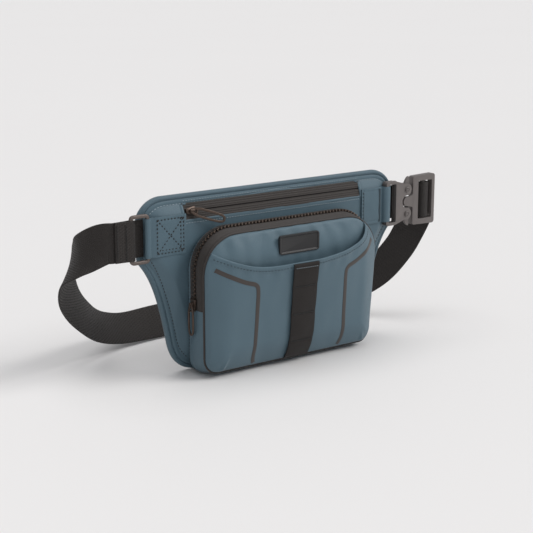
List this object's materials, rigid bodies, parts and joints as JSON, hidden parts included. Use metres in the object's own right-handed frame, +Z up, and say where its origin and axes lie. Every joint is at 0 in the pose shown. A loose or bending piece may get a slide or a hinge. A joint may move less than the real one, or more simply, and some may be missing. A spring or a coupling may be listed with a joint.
{
  "type": "waist bag",
  "caption": "Coated nylon waist bag on a webbing belt, with a zipped pouch, a front slip pocket, a rear zip pocket and a metal side-release buckle.",
  "frame": {"origin": "middle of the pouch, on the flat underside the bag stands on", "axes": "+X towards the buckle, +Y from the pouch front to the back panel and the belt, +Z up"},
  "size_m": [0.4405, 0.1914, 0.175],
  "materials": {
    "nylon": "smooth coated weave",
    "binding": "folded woven edge",
    "padding": "soft mesh over foam",
    "zip_tape": "fine ribbed tape",
    "zip_teeth": "satin",
    "slider_metal": "dark warm satin",
    "webbing": "ribbed weave",
    "thread": "close zigzag stitches",
    "stripe": "bonded film",
    "label": "matte",
    "ring_metal": "warm grey satin",
    "buckle_metal": "matte bead-blasted coat",
    "rivet_metal": "satin",
    "spring_steel": "drawn wire"
  },
  "bodies": {
    "bag": {"rear_pocket_front": "nylon", "gusset_rear_band": "nylon", "gusset_lower_band": "nylon", "front_seam_flange": "nylon", "front_panel": "nylon", "slip_pocket": "nylon", "left_tab": "nylon", "right_tab": "nylon", "edge_binding": "binding", "back_pad": "padding", "pouch_lining": "padding", "rear_zip_upper_tape": "zip_tape", "rear_zip_lower_tape": "zip_tape", "main_zip_rear_tape": "zip_tape", "main_zip_front_tape": "zip_tape", "rear_zip_coil": "zip_teeth", "main_zip_teeth": "zip_teeth", "main_zip_left_stop": "slider_metal", "main_zip_right_stop": "slider_metal", "ladder_webbing": "webbing", "belt_left": "webbing", "belt_back": "webbing", "ladder_bartack_upper": "thread", "ladder_bartack_middle": "thread", "ladder_bartack_lower": "thread", "reflective_stripe_left": "stripe", "reflective_stripe_right": "stripe", "rubber_label": "label", "socket_front_plate": "buckle_metal", "socket_back_plate": "buckle_metal", "socket_spacer": "buckle_metal", "rivet_upper": "rivet_metal", "rivet_lower": "rivet_metal", "latch_spring_upper": "spring_steel", "latch_spring_lower": "spring_steel"},
    "rear_slider": {"rear_zip_slider": "slider_metal"},
    "rear_pull": {"rear_zip_pull": "slider_metal"},
    "main_slider": {"main_zip_slider": "slider_metal"},
    "main_pull": {"main_zip_pull": "slider_metal"},
    "tongue": {"buckle_tongue": "buckle_metal", "tongue_bar": "rivet_metal", "belt_tongue_wrap": "webbing", "belt_right": "webbing"},
    "latch_top": {"latch_upper": "buckle_metal"},
    "latch_bottom": {"latch_lower": "buckle_metal"},
    "ring": {"belt_ring": "ring_metal", "belt_ring_wrap": "webbing"}
  },
  "joints": [
    {"name": "rear_zip_slide", "type": "slide", "parent": "bag", "child": "rear_slider", "axis": [1, 0, 0], "range_m": [0, 0.193]},
    {"name": "rear_pull_hinge", "type": "hinge", "parent": "rear_slider", "child": "rear_pull", "pos_m": [-0.1, 0.0116, 0.15983], "axis": [-0.3523, 0, -0.9359], "range_deg": [0, 120]},
    {"name": "main_zip_slide", "type": "slide", "parent": "bag", "child": "main_slider", "axis": [0, 0, 1], "range_m": [0, 0.038]},
    {"name": "main_pull_hinge", "type": "hinge", "parent": "main_slider", "child": "main_pull", "pos_m": [-0.10995, 0.0005, 0.071], "axis": [0, 1, 0], "range_deg": [0, 150]},
    {"name": "tongue_slide", "type": "slide", "parent": "bag", "child": "tongue", "axis": [1, 0, 0], "range_m": [0, 0.022]},
    {"name": "latch_top_hinge", "type": "hinge", "parent": "bag", "child": "latch_top", "pos_m": [0.1695, 0.013, 0.1515], "axis": [0, 1, 0], "range_deg": [0, 6], "stiffness_Nm_per_rad": 0.02},
    {"name": "latch_bottom_hinge", "type": "hinge", "parent": "bag", "child": "latch_bottom", "pos_m": [0.1695, 0.013, 0.1255], "axis": [0, -1, 0], "range_deg": [0, 6], "stiffness_Nm_per_rad": 0.02},
    {"name": "ring_hinge", "type": "hinge", "parent": "bag", "child": "ring", "pos_m": [-0.14825, 0.013, 0.1385], "axis": [0, 0, 1], "range_deg": [-15, 15]}
  ]
}
